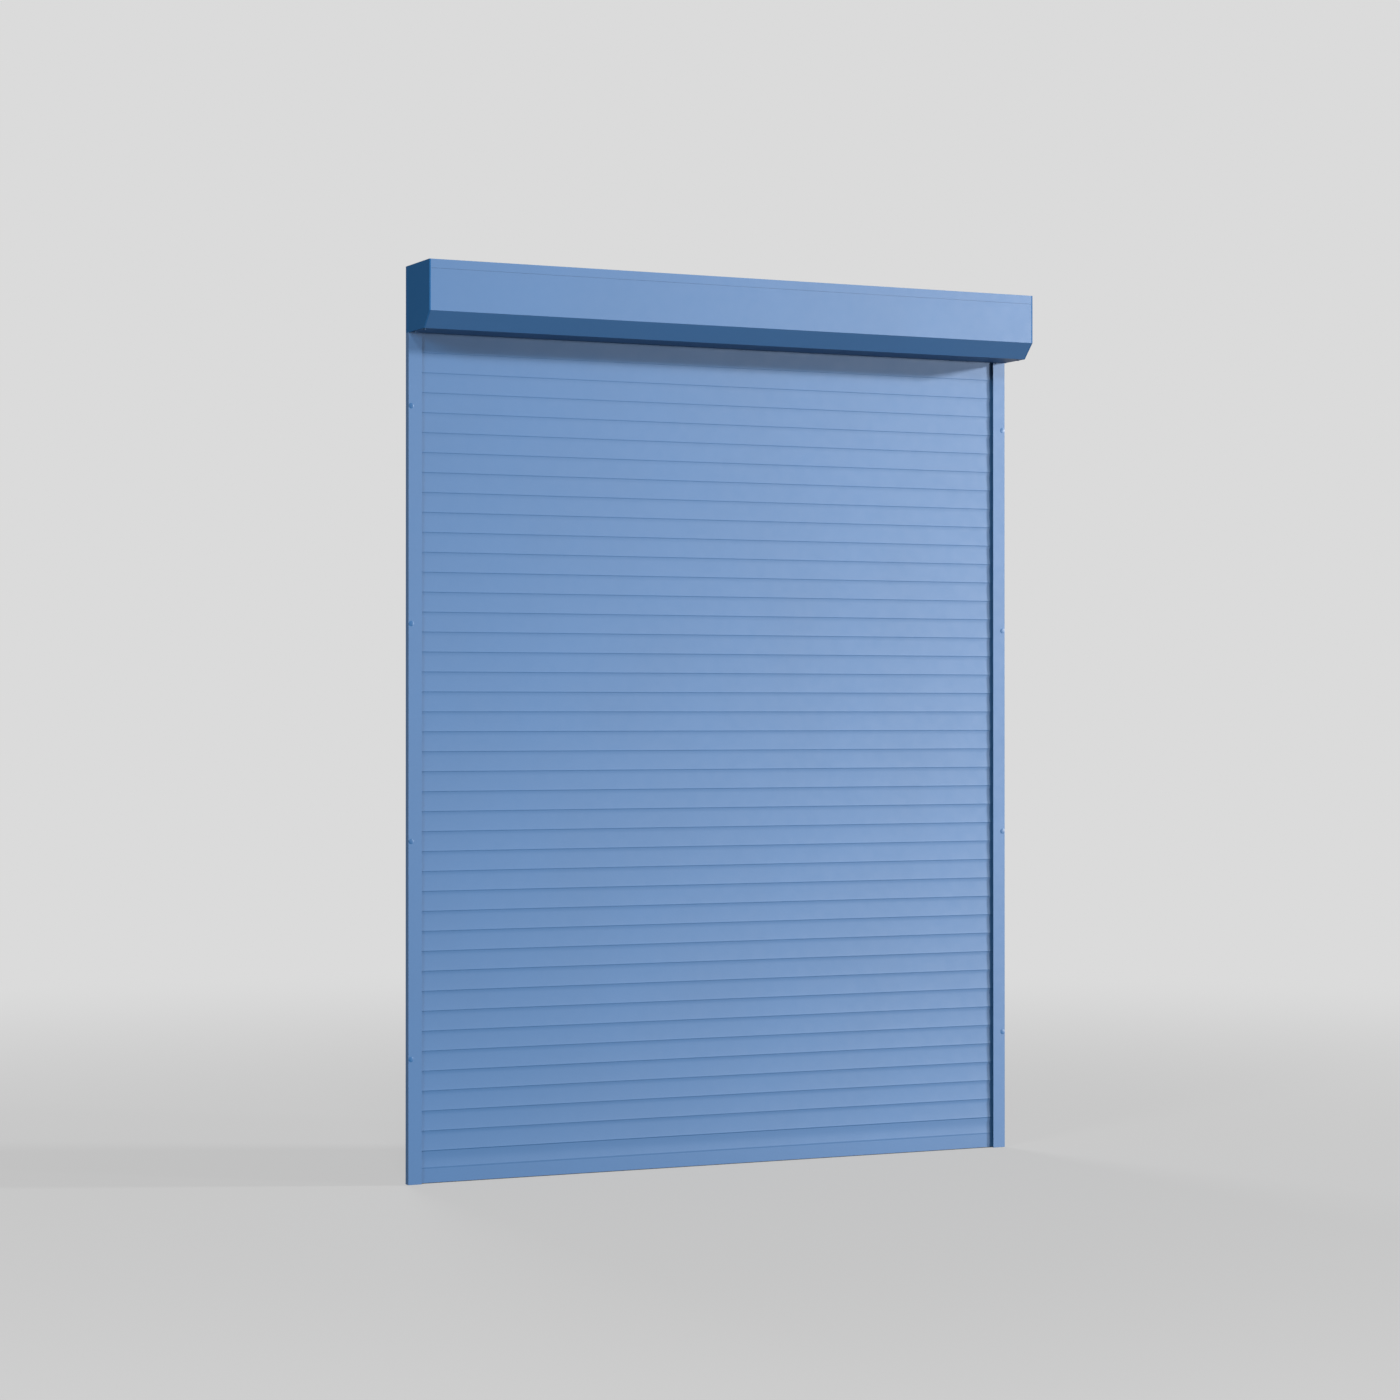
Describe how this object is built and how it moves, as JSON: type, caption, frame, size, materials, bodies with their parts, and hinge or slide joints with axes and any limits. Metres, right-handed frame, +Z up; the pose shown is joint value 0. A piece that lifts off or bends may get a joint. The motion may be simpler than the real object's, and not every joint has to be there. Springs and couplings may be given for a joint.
{
  "type": "exterior roller shutter",
  "caption": "Exterior roller shutter with a 45 degree headbox, aluminium slat curtain, guide rails and a hidden tubular motor, powder coated blue.",
  "frame": {"origin": "mid width of the shutter, in the plane of the wall behind it, at sill level", "axes": "+X right seen from outside, +Y towards the wall, +Z up"},
  "size_m": [1.55, 0.15, 2.067],
  "materials": {
    "powder_coat_blue": "satin",
    "guide_plug_blue": "satin",
    "black_plastic": "matte",
    "black_rubber": "matte",
    "brush_pile": "matte",
    "galvanised_steel": "satin",
    "bearing_steel": "polished",
    "spring_steel": "satin",
    "motor_white": "satin",
    "motor_grey": "matte"
  },
  "bodies": {
    "frame": {"rear_top_panel": "powder_coat_blue", "inspection_cover": "powder_coat_blue", "end_cap_left": "powder_coat_blue", "end_cap_right": "powder_coat_blue", "guide_left": "powder_coat_blue", "guide_right": "powder_coat_blue", "cover_screws": "powder_coat_blue", "panel_rivets": "powder_coat_blue", "guide_plugs": "guide_plug_blue", "inlet_funnel_left": "black_plastic", "inlet_funnel_right": "black_plastic", "guide_feet": "black_plastic", "cable_grommet": "black_rubber", "outlet_seal": "black_rubber", "brush_seal_left": "brush_pile", "brush_seal_right": "brush_pile", "motor_bracket": "galvanised_steel", "bearing_holder": "galvanised_steel", "bracket_screws": "galvanised_steel", "bearing_outer_ring": "bearing_steel", "hanger_springs": "spring_steel", "motor_tube": "motor_white", "motor_head": "motor_grey"},
    "curtain": {"end_slat": "powder_coat_blue", "bottom_seal": "black_rubber", "end_slat_plugs": "black_plastic", "slat_locks_left": "black_plastic", "slat_locks_right": "black_plastic", "slat_01": "powder_coat_blue", "slats_02_03": "powder_coat_blue", "slats_04_05": "powder_coat_blue", "slats_06_07": "powder_coat_blue", "slats_08_09": "powder_coat_blue", "slats_10_11": "powder_coat_blue", "slats_12_13": "powder_coat_blue", "slats_14_15": "powder_coat_blue", "slats_16_17": "powder_coat_blue", "slats_18_19": "powder_coat_blue", "slats_20_21": "powder_coat_blue", "slats_22_23": "powder_coat_blue", "slats_24_25": "powder_coat_blue", "slats_26_27": "powder_coat_blue", "slats_28_29": "powder_coat_blue", "slats_30_31": "powder_coat_blue", "slats_32_33": "powder_coat_blue", "slats_34_35": "powder_coat_blue", "slats_36_37": "powder_coat_blue", "slats_38_39": "powder_coat_blue", "slats_40_41": "powder_coat_blue"},
    "top_slat": {"top_slat": "powder_coat_blue", "hanger_clips": "black_plastic"},
    "shaft": {"octagonal_shaft": "galvanised_steel", "motor_crown": "black_plastic", "motor_drive_adapter": "black_plastic", "idler_capsule": "black_plastic", "idler_pin": "galvanised_steel", "bearing_inner_ring": "bearing_steel", "hanger_loops": "spring_steel"}
  },
  "joints": [
    {"name": "curtain_lift", "type": "slide", "parent": "frame", "child": "curtain", "axis": [0, 0, 1], "range_m": [0, 0.072], "deforming": ["hanger_springs"]},
    {"name": "top_slat_tilt", "type": "hinge", "parent": "curtain", "child": "top_slat", "pos_m": [0, -0.0085, 1.92], "axis": [1, 0, 0], "range_deg": [0, 50]},
    {"name": "shaft_spin", "type": "hinge", "parent": "frame", "child": "shaft", "pos_m": [0, -0.075, 1.992], "axis": [1, 0, 0], "range_deg": [0, 131]}
  ],
  "couplings": [
    {"joint": "shaft_spin", "follows": "curtain_lift", "rad_per_m": 31.646},
    {"joint": "top_slat_tilt", "follows": "curtain_lift", "rad_per_m": 11.636}
  ]
}
